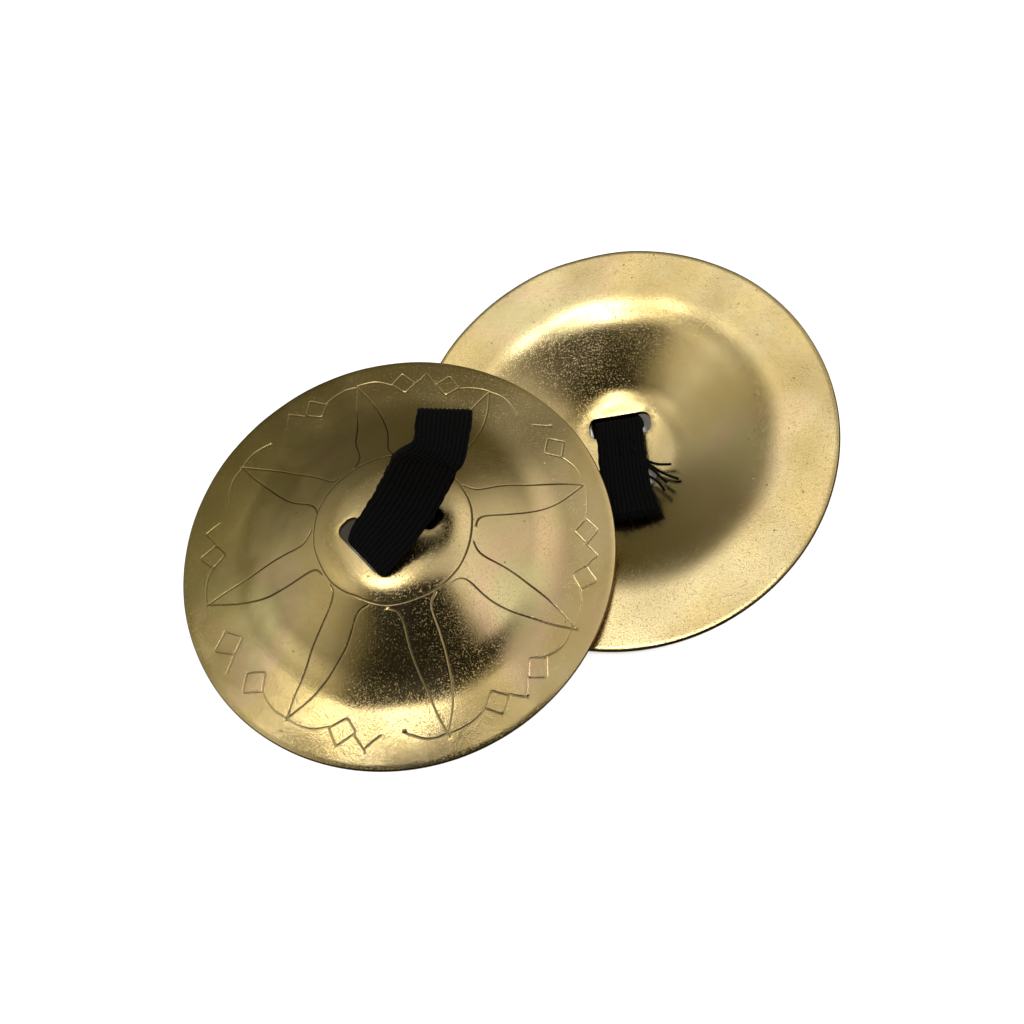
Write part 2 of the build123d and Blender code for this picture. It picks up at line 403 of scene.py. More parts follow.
@dataclass(frozen=True)
class Engraving:
    """Hand-struck lines: a ring round the bell, eight leaf petals and a rim border.

    The seed starts the random draws. Values called scatter are standard deviations of a
    hand's faults.
    """

    seed: int
    first_tip: float = math.radians(17.7)
    petals: int = 8
    ring_radius: float = 9.45
    ring_kinks: int = 16
    ring_scatter: float = 0.012
    axis_scatter: float = 0.012
    stretch_scatter: float = 0.006
    leaf_scatter: float = 0.06
    border_scatter: float = 0.09
    missed_share: float = 0.09
    curve_step: float = 0.3
    station: float = 0.34
    knot_step: float = 2.5
    half_width: float = 0.17
    depth: float = 0.085
    wobble: float = 0.05
    weakest: float = 0.62

    # radius and half width of a petal, from the flared foot on the ring to the tip
    leaf: tuple = ((9.45, 2.7), (9.75, 2.25), (10.4, 1.78), (11.6, 1.7), (14.2, 2.1),
                   (18.4, 1.66), (21.6, 0.92), (24.15, 0.0))
    # radius and degrees from a tip of the border's half sector; the other half mirrors it
    arch: tuple = ((24.15, 0.0), (24.3, 3.2), (24.05, 7.2), (23.2, 11.2))
    diamond: tuple = ((23.2, 11.2), (24.95, 15.0), (23.25, 19.0), (21.65, 15.2), (23.2, 11.2))
    peak: tuple = ((23.25, 19.0), (24.8, 22.5))

    def strokes(self) -> list[np.ndarray]:
        """All engraved lines as evenly spaced plan points.

        Petal sides are smooth lines through the leaf's points, mirrored about each axis;
        the border is an arch, a diamond and half a peak, mirrored about each half sector.
        A slow random drift bends every stroke a little, as a hand-held graver does.

        Returns:
            One (points, 3) array for each stroke: u, v and the stroke's strength.
        """
        chance = np.random.default_rng(self.seed)
        sector = 2 * math.pi / self.petals
        lines = []
        ring_turn = np.linspace(0, 2 * math.pi, 6 * self.ring_kinks + 1)
        kinks = 1 + self.ring_scatter * np.interp(
            ring_turn, np.linspace(0, 2 * math.pi, self.ring_kinks + 1),
            np.append(chance.normal(0, 1, self.ring_kinks), 0.0))
        kinks[-1] = kinks[0]
        lines.append((polar(self.ring_radius * kinks, ring_turn), 1.0))
        for petal in range(self.petals):
            axis = self.first_tip - petal * sector + chance.normal(0, self.axis_scatter)
            stretch = 1 + chance.normal(0, self.stretch_scatter)
            for side in (-1, 1):
                leaf = np.array(self.leaf)
                leaf[:-1, 1] *= 1 + chance.normal(0, self.leaf_scatter, len(leaf) - 1)
                line = smooth_line(np.column_stack([leaf[:, 0] * stretch, side * leaf[:, 1],
                                                    np.zeros(len(leaf))]), self.curve_step)
                reach, aside = line[:, 0], line[:, 1]
                lines.append((np.stack([reach * math.cos(axis) - aside * math.sin(axis),
                                        reach * math.sin(axis) + aside * math.cos(axis)], 1),
                              chance.uniform(0.8, 1.0)))
            for half in (-1, 1):
                base = axis if half < 0 else axis - sector
                for shape in (self.arch, self.diamond, self.peak):
                    if chance.random() < self.missed_share:
                        continue
                    points = np.array(shape)
                    angle = base + half * np.radians(points[:, 1])
                    radius = points[:, 0] + chance.normal(0, self.border_scatter, len(points))
                    if shape is self.diamond:
                        radius[-1] = radius[0]
                    line = np.column_stack([polar(radius, angle), np.zeros(len(points))])
                    if shape is self.arch:
                        line = smooth_line(line, self.curve_step)
                    lines.append((line[:, :2], chance.uniform(0.45, 0.95)))
        return [self._drifted(line, strength, chance) for line, strength in lines]

    def _drifted(self, line: np.ndarray, strength: float,
                 chance: np.random.Generator) -> np.ndarray:
        """Respaces one stroke, bends it slightly and varies its strength.

        Args:
            line: (points, 2) corner points.
            strength: the stroke's mean strength, up to one.
            chance: the random source.

        Returns:
            (points, 3) plan points and strengths.
        """
        run = run_length(line)
        places, even = resampled(line, run, self.station, 2)
        knots = np.linspace(0, run[-1], max(3, round(run[-1] / self.knot_step) + 1))
        drift = [np.interp(places, knots, chance.normal(0, self.wobble, len(knots)))
                 for _ in range(2)]
        force = np.interp(places, knots, chance.uniform(self.weakest, 1.0, len(knots)))
        even = even + np.stack(drift, 1)
        return np.column_stack([even, force * strength])


@dataclass
class Cymbal:
    """One brass disc: two skins, a rounded rim and two punched slots.

    The clear values are the gaps that filling points leave, in mesh steps.
    """

    name: str
    placement: Placement
    engraving: Engraving
    seed: int
    profile: SheetProfile = SheetProfile()
    slots: Slots = Slots()
    rim_points: int = 432
    rim_rows: int = 7
    wall_rows: int = 4
    mesh_step: float = 0.46
    inside_coarser: float = 1.3
    rim_clear: float = 0.6
    slot_clear: float = 0.45
    line_clear: float = 0.4
    merge: float = 1e-4
    bell_shift: tuple = (0.0, 0.0)
    shift_fade: float = 9.0
    waves: int = 14
    wave_lengths: tuple = (6, 24)
    wave_height: float = 0.016

    def __post_init__(self) -> None:
        """Draws the slow waves that pressing and handling leave in the sheet."""
        chance = np.random.default_rng(self.seed)
        turn = chance.uniform(0, 2 * np.pi, self.waves)
        pace = 2 * np.pi / chance.uniform(*self.wave_lengths, self.waves)
        self.wave_paces = np.stack([np.cos(turn), np.sin(turn)]) * pace
        self.wave_starts = chance.uniform(0, 2 * np.pi, self.waves)

    def unevenness(self, plan: np.ndarray) -> tuple[np.ndarray, np.ndarray]:
        """Slow waves of the sheet, a sum of cosines in many directions.

        Args:
            plan: (points, 2) plan points.

        Returns:
            Heights, and their slopes along u and v.
        """
        phase = plan @ self.wave_paces + self.wave_starts
        height = np.cos(phase).sum(axis=1) * self.wave_height
        slope = -(np.sin(phase) @ self.wave_paces.T) * self.wave_height
        return height, slope

    def off_centre(self, plan: np.ndarray) -> np.ndarray:
        """Moves the bell, the slots and the engraving a little off the rim's centre.

        The shift is whole up to the cone's foot and fades to nothing at the rim, as a
        smooth step of the distance from the axis.

        Args:
            plan: (points, 2 or more) points whose first two columns are the plan.

        Returns:
            The points with their plan moved.
        """
        inward = self.profile.skin_radius - np.linalg.norm(plan[:, :2], axis=1)
        share = np.clip(inward / self.shift_fade, 0, 1)
        share = share * share * (3 - 2 * share)
        moved = plan.copy()
        moved[:, :2] += share[:, None] * np.array(self.bell_shift)
        return moved

    def background(self, limit: float, step: float, strokes: np.ndarray | None) -> np.ndarray:
        """Plan points that fill a skin between its edges.

        Rings of points stand one step apart, each with points about a step apart, and
        points in the slots or too near an engraved line are dropped.

        Args:
            limit: radius of the skin's edge.
            step: distance between points.
            strokes: engraved points to stay clear of, or None.

        Returns:
            (points, 2) plan points.
        """
        radii = np.arange(step, limit - step * self.rim_clear, step)
        counts = np.maximum(6, np.round(2 * np.pi * radii / step)).astype(int)
        radius = np.repeat(radii, counts)
        order = np.arange(counts.sum()) - np.repeat(np.cumsum(counts) - counts, counts)
        angle = 2 * np.pi * (order + 0.5 * (np.repeat(np.arange(len(radii)), counts) % 2))
        angle /= np.repeat(counts, counts)
        plan = polar(radius, angle)
        keep = np.ones(len(plan), dtype=bool)
        margin = self.slots.edge_round + step * self.slot_clear
        for side in (-1, 1):
            away = np.abs(plan - (side * self.slots.spacing / 2, 0))
            size = np.array([self.slots.width, self.slots.length]) / 2 + margin
            keep &= (away > size).any(axis=1)
        plan = plan[keep]
        if strokes is not None:
            distance = nearest_stroke(plan, strokes)[0]
            plan = plan[distance > self.engraving.half_width + step * self.line_clear]
        return plan

    def plan_mesh(self, facing: Facing) -> dict:
        """Triangles of one skin, seen from above.

        The rim circle, the slots' outlines and the strips along each engraved line are
        edges that the triangles must follow.

        Args:
            facing: the skin.

        Returns:
            The plan points, the triangles and the indices of the rim and slot loops.
        """
        outside = facing is Facing.OUTSIDE
        lift = 0 if outside else self.profile.thickness * math.sin(self.profile.flange_slope)
        limit = self.profile.skin_radius - lift
        turn = np.arange(self.rim_points) * 2 * np.pi / self.rim_points
        slot_loops = [self.slots.outline(side, self.slots.edge_round) for side in (-1, 1)]
        points, edges, starts = [], [], []

        def add_line(line: np.ndarray, closed: bool) -> None:
            """Adds points that triangles must follow, in order."""
            index = np.arange(len(line)) + sum(len(earlier) for earlier in points)
            onward = np.stack([index, np.roll(index, -1)], 1)
            starts.append(index)
            points.append(line)
            edges.append(onward if closed else onward[:-1])

        for loop in (polar(np.full(len(turn), limit), turn), *slot_loops):
            add_line(loop, True)
        strokes = self.engraving.strokes() if outside else []
        half = self.engraving.half_width
        for stroke in strokes:
            line = stroke[:, :2]
            across = unit(np.gradient(line, axis=0))[:, ::-1] * (-1, 1)
            for offset in (-half, -half / 2, 0.0, half / 2, half):
                add_line(line + across * offset, False)
        engraved = np.concatenate(strokes) if strokes else None
        step = self.mesh_step if outside else self.mesh_step * self.inside_coarser
        points.append(self.background(limit, step, engraved))
        plan = np.concatenate(points)
        found = delaunay_2d_cdt([Vector(p) for p in plan], np.concatenate(edges).tolist(), [],
                                0, self.merge)
        new_plan = np.array([tuple(p) for p in found[0]])
        triangles = np.array(found[2])
        places = {old: new for new, olds in enumerate(found[3]) for old in olds}
        middle = new_plan[triangles].mean(axis=1)
        keep = np.ones(len(triangles), dtype=bool)
        for loop in slot_loops:
            keep &= ~inside_outline(middle, loop)
        return {"plan": new_plan, "triangles": triangles[keep],
                "loops": [np.array([places[i] for i in index]) for index in starts[:3]],
                "strokes": engraved}

    def skin(self, facing: Facing) -> dict:
        """One skin of the sheet with its heights, normals and marks.

        The height is the meridian's plus the slow waves, less the groove: a cosine hollow
        across each engraved line. Normals come from the slopes of the same formula.

        Args:
            facing: the skin.

        Returns:
            The plan mesh with points, normals and groove strength added.
        """
        made = self.plan_mesh(facing)
        plan = made["plan"]
        inset = 0.0 if facing is Facing.OUTSIDE else self.profile.thickness
        radius = np.linalg.norm(plan, axis=1)
        wave, wave_slope = self.unevenness(plan)
        nudge = 1e-3
        rise = (self.profile.height(radius + nudge, inset)
                - self.profile.height(np.abs(radius - nudge), inset)) / (2 * nudge)
        slope = plan / np.maximum(radius, 1e-6)[:, None] * rise[:, None] + wave_slope
        height = self.profile.height(radius, inset) + wave
        groove = np.zeros(len(plan))
        if made["strokes"] is not None:
            distance, away, force = nearest_stroke(plan, made["strokes"])
            half = self.engraving.half_width
            share = np.clip(distance / half, 0, 1)
            groove = force * (0.5 + 0.5 * np.cos(np.pi * share))
            height = height - self.engraving.depth * groove
            steep = (self.engraving.depth * force * np.pi / (2 * half)
                     * np.sin(np.pi * share))
            slope = slope + away / np.maximum(distance, 1e-6)[:, None] * steep[:, None]
        made["points"] = np.column_stack([plan, height])
        made["normals"] = unit(np.column_stack([-slope, np.ones(len(plan))])) * facing.value
        made["groove"] = groove
        if facing is Facing.INSIDE:
            made["triangles"] = made["triangles"][:, ::-1]
        return made

    def build(self) -> bpy.types.Object:
        """Joins both skins, the slot walls and the rim into one closed piece.

        The rim is half an ellipse carried round the circle. A slot's wall is a quarter
        circle at each skin with a straight stretch between them.
        """
        outside, inside = self.skin(Facing.OUTSIDE), self.skin(Facing.INSIDE)
        shift = len(outside["points"])
        points = [outside["points"], inside["points"]]
        faces = outside["triangles"].tolist() + (inside["triangles"] + shift).tolist()
        tops = outside["loops"]
        bottoms = [loop + shift for loop in inside["loops"]]
        both = np.concatenate(points)
        total = len(both)
        edge = [np.zeros(total)]
        wall = [np.zeros(total)]
        for order, (top, bottom) in enumerate(zip(tops, bottoms)):
            rim = order == 0
            rows = (self._rim_rows(both[top], both[bottom]) if rim
                    else self._wall_rows(2 * order - 3))
            count = len(top)
            between = np.arange(len(rows) * count).reshape(-1, count) + total
            index = [top, *between, bottom]
            for a, b in zip(index, index[1:]):
                ring = np.stack([a, np.roll(a, -1), np.roll(b, -1), b], 1)
                faces += (ring[:, ::-1] if rim else ring).tolist()
            points += rows
            total += between.size
            # the edge mark picks the rim's rows, which the brass darkens as painted shade
            edge.append(np.full(between.size, float(rim)))
            # the wall mark picks the straight middle of each slot wall, which the brass darkens as
            # painted shade
            deep = np.ones(len(rows))
            deep[[0, 1, -2, -1]] = 0
            wall.append(np.repeat(deep * (not rim), count))
        local = np.concatenate(points)
        normals = np.concatenate([self.placement.turn(outside["normals"]),
                                  self.placement.turn(inside["normals"]),
                                  np.zeros((len(local) - len(both), 3))])
        normals[np.concatenate(tops + bottoms)] = 0
        groove = np.concatenate([outside["groove"], np.zeros(len(local) - shift)])
        return make_piece(self.name, self.placement.to_row(self.off_centre(local)), faces,
                          normals, {"place": local, "groove": groove,
                                    "edge": np.concatenate(edge),
                                    "wall": np.concatenate(wall)})

    def _rim_rows(self, upper: np.ndarray, lower: np.ndarray) -> list[np.ndarray]:
        """Rings of the rounded rim between the two skins' edges."""
        middle, half = (upper + lower) / 2, (upper - lower) / 2
        outward = unit(middle * (1, 1, 0))
        bulge = self.profile.rim_radius - np.linalg.norm(middle[:, :2], axis=1)[:, None]
        return [middle + half * math.cos(a) + outward * bulge * math.sin(a)
                for a in np.linspace(0, math.pi, self.rim_rows + 2)[1:-1]]

    def _wall_rows(self, side: int) -> list[np.ndarray]:
        """Rings down a slot's wall, rounded where it meets each skin."""
        rows = []
        soft = self.slots.edge_round
        turns = np.linspace(0, math.pi / 2, self.wall_rows + 1)[1:]
        for inset, sign, angles in ((0.0, -1, turns), (self.profile.thickness, 1, turns[::-1])):
            for a in angles:
                plan = self.slots.outline(side, soft * (1 - math.sin(a)))
                radius = np.linalg.norm(plan, axis=1)
                height = self.profile.height(radius, inset) + self.unevenness(plan)[0]
                rows.append(np.column_stack([plan, height + sign * soft * (1 - math.cos(a))]))
        return rows


def nearest_stroke(plan: np.ndarray, strokes: np.ndarray) -> tuple:
    """Distance from plan points to the engraved lines.

    The nearest engraved point is found for every plan point, and the distance is then
    taken square to the line through it and its neighbour.

    Args:
        plan: (points, 2) plan points.
        strokes: (points, 3) engraved points with their strength, stroke after stroke.

    Returns:
        Distances, vectors from the line to the point, and strengths.
    """
    block_size = 2000
    longest_step = 0.6
    line = strokes[:, :2]
    nearest = np.empty(len(plan), dtype=int)
    for start in range(0, len(plan), block_size):
        block = plan[start:start + block_size]
        squared = ((block ** 2).sum(1)[:, None] - 2 * block @ line.T + (line ** 2).sum(1)[None])
        nearest[start:start + block_size] = squared.argmin(axis=1)
    best = None
    for neighbour in (np.maximum(nearest - 1, 0), np.minimum(nearest + 1, len(line) - 1)):
        a, b = line[nearest], line[neighbour]
        span = b - a
        length = np.linalg.norm(span, axis=1)
        same_stroke = (length > 1e-9) & (length < longest_step)
        share = ((plan - a) * span).sum(1) / np.maximum(length, 1e-9) ** 2
        share = np.where(same_stroke, np.clip(share, 0, 1), 0)
        away = plan - (a + span * share[:, None])
        distance = np.linalg.norm(away, axis=1)
        if best is None:
            best = (distance, away)
        else:
            closer = distance < best[0]
            best = (np.where(closer, distance, best[0]), np.where(closer[:, None], away, best[1]))
    return best[0], best[1], strokes[nearest, 2]


def inside_outline(points: np.ndarray, outline: np.ndarray) -> np.ndarray:
    """Which points lie inside a convex outline that runs anticlockwise."""
    along = np.roll(outline, -1, axis=0) - outline
    away = points[:, None] - outline[None]
    return (along[:, 0] * away[..., 1] - along[:, 1] * away[..., 0] > -1e-6).all(axis=1)


# ----------------------------------------------------------------------------- strap


@dataclass(frozen=True)
class Weave:
    """Cross-section and surface of the flat braided elastic."""

    width: float = 6.2
    thickness: float = 0.86
    ribs: int = 11
    rib_depth: float = 0.13
    hollow_power: float = 0.6
    edge_share: float = 0.8
    points_per_rib: int = 5
    edge_points: int = 5
    knot_pitch: float = 0.62
    knot_height: float = 0.03
    knot_level: float = 0.6
    step: float = 0.155
    table_gap: float = 0.015
    # size, pace along the strap and start of each slow change of width
    width_waves: tuple = ((0.012, 1.7, 0), (0.01, 3.9, 1))


@dataclass
class FingerStrap:
    """One length of elastic, sewn to itself inside the bell and looped outside it."""

    name: str
    weave: Weave
    placement: Placement
    shift: tuple
    hinge_level: float

    def at_bell(self, u: float, h: float, v: float = 0.0, width: float = 1.0) -> np.ndarray:
        """Control at the bell, with its width along the slots."""
        place = self.placement.to_row(np.array([[u + self.shift[0], v + self.shift[1], h]]))[0]
        return control(place, -self.placement.along, width)

    def pivot(self) -> np.ndarray:
        """Point of the loop's hinge axis over the middle of the bell."""
        return self.placement.over_bell(self.hinge_level)

    def section(self) -> tuple[np.ndarray, np.ndarray, np.ndarray]:
        """Outline of the cut elastic: two ribbed faces joined by rounded edges.

        Across each face the height is the half thickness less a rib's hollow, which is
        the absolute sine of the place across the ribs taken to a power.

        Returns:
            Places across the width, heights, and how deep each point is between ribs.
        """
        w = self.weave
        count = w.ribs * w.points_per_rib
        x = np.linspace(-1, 1, count + 1)
        flat = w.width / 2 - w.thickness / 2 * w.edge_share
        hollow = 1 - np.abs(np.sin(np.pi * w.ribs * (x + 1) / 2)) ** w.hollow_power
        top = w.thickness / 2 - w.rib_depth * hollow
        turn = np.linspace(np.pi / 2, -np.pi / 2, w.edge_points + 2)[1:-1]
        edge_x = flat + np.cos(turn) * (w.width / 2 - flat)
        edge_z = np.sin(turn) * w.thickness / 2
        across = np.concatenate([x * flat, edge_x, -x * flat, -edge_x])
        high = np.concatenate([top, edge_z, -top, -edge_z])
        deep = np.concatenate([hollow, edge_x * 0, hollow, edge_x * 0])
        return across, high, deep

    def band(self, controls: np.ndarray) -> bpy.types.Object:
        """Carries the section along a smooth route.

        Args:
            controls: (points, 7) place, width direction and width factor of each control,
                in the row frame.

        Returns:
            The strap's object.
        """
        w = self.weave
        line = smooth_line(controls, w.step)
        middle, scale = line[:, :3], line[:, 6]
        along = unit(np.gradient(middle, axis=0))
        side = line[:, 3:6]
        side = unit(side - along * (side * along).sum(1)[:, None])
        face = np.cross(side, along)
        across, high, deep = self.section()
        run = np.arange(len(middle)) * w.step
        rib = np.floor((across / w.width + 0.5) * w.ribs)
        knots = np.abs(np.sin(np.pi * run[:, None] / w.knot_pitch + rib[None] * np.pi / 2))
        lift = high[None] + np.sign(high)[None] * w.knot_height * (knots - w.knot_level)
        wave = np.ones(len(run))
        for size, pace, start in w.width_waves:
            wave += size * np.sin(run * pace + start)
        spread = across[None] * (scale * wave)[:, None]
        points = (middle[:, None] + side[:, None] * spread[..., None]
                  + face[:, None] * lift[..., None])
        rows, columns = points.shape[:2]
        faces = ring_quads(rows, columns).tolist()
        faces.append(list(range(columns))[::-1])
        faces.append(list(range((rows - 1) * columns, rows * columns)))
        flat = points.reshape(-1, 3)
        flat[:, 2] = np.maximum(flat[:, 2], w.table_gap)
        spots = np.stack(np.broadcast_arrays(across[None], run[:, None], high[None]), -1)
        return make_piece(self.name, flat, faces, None,
                          {"valley": np.tile(deep, rows), "weave": spots.reshape(-1, 3)})


def control(point: np.ndarray, side: np.ndarray, width: float = 1.0) -> np.ndarray:
    """One control of a strap's route: its place, width direction and width factor."""
    return np.concatenate([point, unit(side), [width]])


@dataclass
class UpperStrap(FingerStrap):
    """The strap whose loop stands up and leans to one side, with a twist."""

    lean: float = math.radians(34)
    side_lean: float = math.radians(11)

    def loop_way(self) -> np.ndarray:
        """The direction in which the loop leaves the bell."""
        return self.placement.out

    def route(self) -> np.ndarray:
        """Controls from the cut end, up through one slot, over and down the other.

        The near run twists from the slot's direction to the sideways top of the loop.
        """
        p = self.placement
        forward = p.out * math.cos(self.lean) + p.across * math.sin(self.lean)
        up = forward * math.cos(self.side_lean) - p.along * math.sin(self.side_lean)
        across = unit(np.cross(up, (1.0, 0, 0)))
        level = unit(np.cross(across, up))
        rows = np.stack([across, up, level])

        def standing(place: tuple, side: tuple, width: float) -> np.ndarray:
            """Control in the standing loop's frame: across it, along it, off its plane."""
            return control(self.pivot() + np.array(place) @ rows, np.array(side) @ rows,
                           width / self.weave.width)

        bell = self.at_bell
        return np.array([
            bell(7.4, 4.35), bell(5.0, 4.4), bell(2.0, 4.42), bell(-1.0, 4.42, -0.3),
            bell(-3.3, 4.42, -0.6), bell(-4.3, 4.5, -0.8), bell(-4.6, 5.4, -0.9),
            bell(-4.62, 6.4, -1.0),
            standing((-3.65, -1.9, -0.62), (-0.76, 0.14, 0.64), 7.2),
            standing((-2.45, 1.21, 0.29), (-0.59, 0.04, 0.81), 7.0),
            standing((-1.75, 4.61, 0.7), (-0.38, 0.09, 0.92), 6.9),
            standing((-1.2, 8.0, 0.7), (-0.13, 0.13, 0.98), 6.9),
            standing((-2.3, 12.2, 0.05), (-0.05, 0.31, 0.95), 6.7),
            standing((-2.9, 14.2, -0.3), (-0.01, 0.41, 0.91), 6.7),
            standing((-3.3, 15.2, -0.3), (0.0, 0.42, 0.91), 6.4),
            standing((-3.5, 15.9, 0.0), (0.0, 0.43, 0.9), 5.9),
            standing((-3.5, 16.6, 0.25), (0.01, 0.44, 0.9), 5.35),
            standing((-2.7, 16.95, 0.25), (0.01, 0.44, 0.9), 5.4),
            standing((-0.7, 16.85, 0.27), (0.01, 0.44, 0.9), 5.75),
            standing((1.2, 16.6, 0.4), (0.01, 0.44, 0.9), 5.8),
            standing((2.5, 16.4, 0.52), (0.01, 0.44, 0.9), 5.8),
            standing((3.2, 15.9, 0.65), (0.0, 0.44, 0.9), 5.8),
            standing((3.2, 14.6, 1.2), (-0.04, 0.43, 0.9), 5.7),
            standing((2.8, 12.6, 1.9), (-0.08, 0.42, 0.9), 5.7),
            standing((2.2, 10.2, 2.1), (-0.12, 0.41, 0.9), 5.8),
            standing((2.0, 7.3, 2.34), (-0.28, 0.37, 0.89), 5.9),
            standing((2.2, 4.1, 2.6), (-0.53, 0.28, 0.80), 6.2),
            bell(4.1, 8.0, -0.1), bell(3.95, 6.9, -0.1), bell(3.8, 6.2, -0.1),
            bell(3.7, 5.6), bell(3.3, 5.36), bell(2.0, 5.35), bell(0.4, 5.35),
            bell(-1.7, 5.35),
        ])


@dataclass
class LowerStrap(FingerStrap):
    """The strap whose loop lies folded flat on the table under its cymbal."""

    low_layer: float = 0.47
    high_layer: float = 2.15

    def loop_way(self) -> np.ndarray:
        """The level direction in which the folded loop points."""
        return -unit(self.placement.across * (1, 1, 0))

    def route(self) -> np.ndarray:
        """Controls from the cut end, out of one slot, along the table and back."""
        flat = -self.placement.along
        level = unit(flat * (1, 1, 0))
        turning = unit(flat + level)
        foot = self.pivot() * (1, 1, 0)

        def table(reach: float, height: float, side: np.ndarray = level) -> np.ndarray:
            """Control over the table, at a distance from the hinge."""
            return control(foot + self.loop_way() * reach + (0, 0, height), side)

        bell = self.at_bell
        high, low = self.high_layer, self.low_layer
        return np.array([
            bell(9.7, 3.2, -0.45, 1.2), bell(8.7, 3.5, -0.38, 1.16),
            bell(7.4, 3.85, -0.25, 1.12), bell(6.0, 4.15, -0.1, 1.06), bell(4.0, 4.4),
            bell(0.0, 4.42), bell(-2.8, 4.42), bell(-3.75, 4.5), bell(-3.75, 5.4),
            bell(-3.75, 6.5), bell(-3.8, 7.3), bell(-4.6, 7.5), table(6.3, high + 0.1, turning),
            table(8.0, high), table(11.0, high + 0.1), table(13.8, high + 0.1),
            table(15.7, high), table(16.1, (high + low) / 2), table(15.7, low),
            table(13.5, low), table(10.0, low), table(7.0, low + 0.03),
            table(4.5, low + 0.35, turning), bell(0.3, 7.35), bell(2.6, 7.35),
            bell(3.75, 7.3), bell(3.75, 6.4), bell(3.75, 5.6), bell(3.3, 5.36),
            bell(2.0, 5.35), bell(0.4, 5.35), bell(-1.7, 5.35),
        ])


@dataclass
class Threads:
    """Stitches through the two tails, the frayed yarns of the cut end and loose tails."""

    name: str
    placement: Placement
    seed: int
    cut_end: tuple
    frays: int
    shift: tuple
    loose: tuple = ()
    columns: int = 3
    rows: int = 2
    pitch: float = 1.7
    stitch: float = 1.0
    face: float = 3.98
    dive: float = 0.55
    slant: float = 0.16
    crossing: float = 0.04
    path_points: int = 9
    thread_radius: float = 0.17
    tail_radius: float = 0.1955
    yarn_radius: float = 0.09
    yarn_root: float = 0.6

    def placed(self, local: np.ndarray) -> np.ndarray:
        """Places (u, v, h) points of any array shape in the row frame."""
        moved = local.reshape(-1, 3) + (*self.shift, 0)
        return self.placement.to_row(moved).reshape(local.shape)

    def stitches(self) -> tuple[np.ndarray, list]:
        """Two crossed strands for every stitch, low arches that dive into the elastic."""
        chance = np.random.default_rng(self.seed)
        share = np.linspace(-1, 1, 11)
        paths = []
        for row in range(self.rows):
            for column in range(self.columns):
                for strand in (-1, 1):
                    middle = np.array([(row - (self.rows - 1) / 2) * self.pitch,
                                       (column - (self.columns - 1) / 2) * self.pitch])
                    slant = strand * self.slant + chance.normal(0, 0.05)
                    u = middle[0] + share * self.stitch / 2
                    v = middle[1] + share * slant + chance.normal(0, 0.04)
                    h = (self.face - 2 * self.crossing + self.dive * np.abs(share) ** 4
                         + self.crossing * strand)
                    paths.append(self.placed(np.stack([u, v, h], 1)))
        paths = np.array(paths)
        return tubes(paths, np.full(paths.shape[:2], self.thread_radius), 7)

    def loose_yarns(self) -> tuple[np.ndarray, list]:
        """Yarns that stand out of the cut end, each a random short curl."""
        chance = np.random.default_rng(self.seed + 1)
        share = np.linspace(0, 1, self.path_points)[None, :]
        count = self.frays
        end_u, end_h, half = self.cut_end
        v = np.linspace(-half, half, count) + chance.normal(0, 0.12, count) - 0.3
        reach = chance.uniform(0.15, 0.75, count) + (chance.random(count) > 0.93) * 0.6
        fan = v / half * 0.2 + chance.normal(0, 0.35, count)
        rise = chance.normal(-0.15, 0.35, count)
        u = end_u - self.yarn_root + share * (reach + self.yarn_root)[:, None]
        bend = share ** 2 * chance.normal(0, 0.18, count)[:, None]
        side = v[:, None] + share * fan[:, None] * reach[:, None] + bend
        high = (end_h + 0.12 + chance.uniform(-0.34, 0.34, count)[:, None]
                + share * rise[:, None] * reach[:, None])
        paths = self.placed(np.stack([u, side, high], -1))
        taper = np.linspace(1, 0.6, self.path_points)[None] * np.full((count, 1),
                                                                      self.yarn_radius)
        return tubes(paths, taper, 5)

    def loose_tails(self) -> tuple[np.ndarray, list]:
        """Sewing-thread tails, each along its own controls."""
        paths = [self.placed(smooth_line(np.array(controls), 0.2))[None]
                 for controls in self.loose]
        return joined([tubes(path, np.full(path.shape[:2], self.tail_radius), 6)
                       for path in paths])

    def build(self) -> bpy.types.Object:
        """Joins the stitches, yarns and tails into one piece."""
        return make_piece(self.name,
                          *joined([self.stitches(), self.loose_yarns(), self.loose_tails()]))


# -------------------------------------------------------------------------- finishes


class Number:
    """One number of a material's tree; arithmetic on it adds Math nodes."""

    def __init__(self, bench: "Bench", socket: bpy.types.NodeSocket) -> None:
        """Wraps an output socket.

        Args:
            bench: the tree it belongs to.
            socket: the output.
        """
        self.bench = bench
        self.socket = socket

    def _math(self, operation: str, first: object, second: object) -> "Number":
        """Adds one Math node."""
        node = self.bench.add("ShaderNodeMath", {"operation": operation}, {0: first, 1: second})
        return Number(self.bench, node.outputs[0])

    def __add__(self, other: object) -> "Number":
        """Sum."""
        return self._math("ADD", self, other)

    __radd__ = __add__

    def __mul__(self, other: object) -> "Number":
        """Product."""
        return self._math("MULTIPLY", self, other)

    __rmul__ = __mul__

    def __sub__(self, other: object) -> "Number":
        """Difference."""
        return self._math("SUBTRACT", self, other)

    def __rsub__(self, other: object) -> "Number":
        """Difference, reflected."""
        return self._math("SUBTRACT", other, self)

    def between(self, low: float, high: float, to_low: float = 0.0,
                to_high: float = 1.0) -> "Number":
        """Smooth step from one range to another.

        Args:
            low: value that gives to_low.
            high: value that gives to_high.
            to_low: result at and under low.
            to_high: result at and over high.

        Returns:
            The stepped number.
        """
        node = self.bench.add("ShaderNodeMapRange", {"interpolation_type": "SMOOTHSTEP"},
                              {"Value": self, "From Min": low, "From Max": high,
                               "To Min": to_low, "To Max": to_high})
        return Number(self.bench, node.outputs["Result"])


